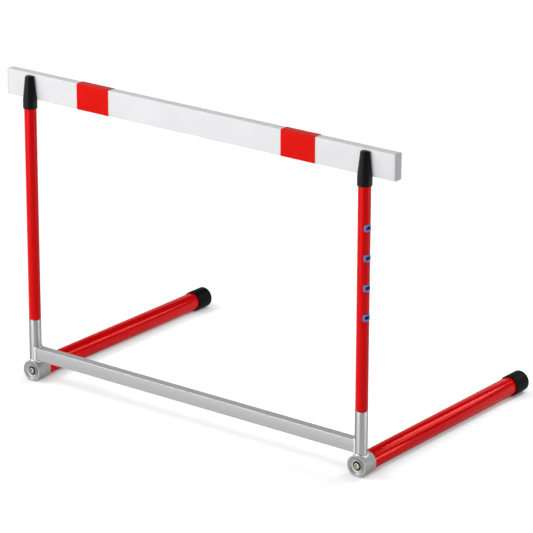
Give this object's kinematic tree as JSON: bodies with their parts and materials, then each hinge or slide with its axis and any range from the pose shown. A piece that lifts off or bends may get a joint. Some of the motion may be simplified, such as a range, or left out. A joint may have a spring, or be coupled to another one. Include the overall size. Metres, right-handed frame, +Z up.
{
  "type": "training hurdle",
  "caption": "Free-standing training hurdle: a flat bar on telescoping uprights locked by snap buttons, joined by a low crossbar, with round feet reaching back.",
  "frame": {"origin": "on the floor, under the middle of the whole hurdle's outline", "axes": "+X along the bar, +Y back along the feet, away from the side the runner comes from, +Z up"},
  "size_m": [1.226, 0.737, 0.8389],
  "materials": {
    "red_coat": "gloss red powder coat",
    "band_red": "red tape",
    "bar_white": "satin white",
    "black_plastic": "satin black moulding",
    "rubber_cap": "matte black",
    "ring_blue": "satin blue",
    "nylon": "natural nylon",
    "hub_aluminium": "brushed satin",
    "face_aluminium": "machined",
    "weld": "weld bead",
    "zinc": "yellow zinc plate",
    "steel": "bright"
  },
  "bodies": {
    "base": {"hub_left": "hub_aluminium", "hub_face_left": "face_aluminium", "tie_bolt_left": "zinc", "tie_washer_left": "zinc", "foot_plug_left": "steel", "foot_tube_left": "red_coat", "foot_cap_left": "rubber_cap", "upright_socket_left": "hub_aluminium", "upright_spigot_left": "face_aluminium", "upright_tube_left": "red_coat", "guide_bush_left": "nylon", "hub_weld_left": "weld", "crossbar_weld_left": "weld", "height_ring_left_1": "ring_blue", "height_ring_left_2": "ring_blue", "height_ring_left_3": "ring_blue", "height_ring_left_4": "ring_blue", "hub_right": "hub_aluminium", "hub_face_right": "face_aluminium", "tie_bolt_right": "zinc", "tie_washer_right": "zinc", "foot_plug_right": "steel", "foot_tube_right": "red_coat", "foot_cap_right": "rubber_cap", "upright_socket_right": "hub_aluminium", "upright_spigot_right": "face_aluminium", "upright_tube_right": "red_coat", "guide_bush_right": "nylon", "hub_weld_right": "weld", "crossbar_weld_right": "weld", "height_ring_right_1": "ring_blue", "height_ring_right_2": "ring_blue", "height_ring_right_3": "ring_blue", "height_ring_right_4": "ring_blue", "crossbar": "hub_aluminium"},
    "upper": {"mast_tube_left": "red_coat", "slide_bush_left": "nylon", "button_spring_left": "steel", "bar_holder_left": "black_plastic", "holder_pin_left": "steel", "bar_plug_left": "bar_white", "bar_band_left": "band_red", "bar_spacer_left": "nylon", "bar_bolt_left_lower": "zinc", "bar_bolt_left_upper": "zinc", "mast_tube_right": "red_coat", "slide_bush_right": "nylon", "button_spring_right": "steel", "bar_holder_right": "black_plastic", "holder_pin_right": "steel", "bar_plug_right": "bar_white", "bar_band_right": "band_red", "bar_spacer_right": "nylon", "bar_bolt_right_lower": "zinc", "bar_bolt_right_upper": "zinc", "bar": "bar_white"},
    "button_left": {"snap_button_left": "zinc"},
    "button_right": {"snap_button_right": "zinc"}
  },
  "joints": [
    {"name": "height_slide", "type": "slide", "parent": "base", "child": "upper", "axis": [0, 0, 1], "range_m": [0, 0.2286]},
    {"name": "snap_button_slide_left", "type": "slide", "parent": "upper", "child": "button_left", "axis": [-0.9563, 0.2924, 0], "range_m": [0, 0.0046], "stiffness_N_per_m": 800, "springref_m": 0.0086},
    {"name": "snap_button_slide_right", "type": "slide", "parent": "upper", "child": "button_right", "axis": [0.9563, -0.2924, 0], "range_m": [0, 0.0046], "stiffness_N_per_m": 800, "springref_m": 0.0086}
  ]
}
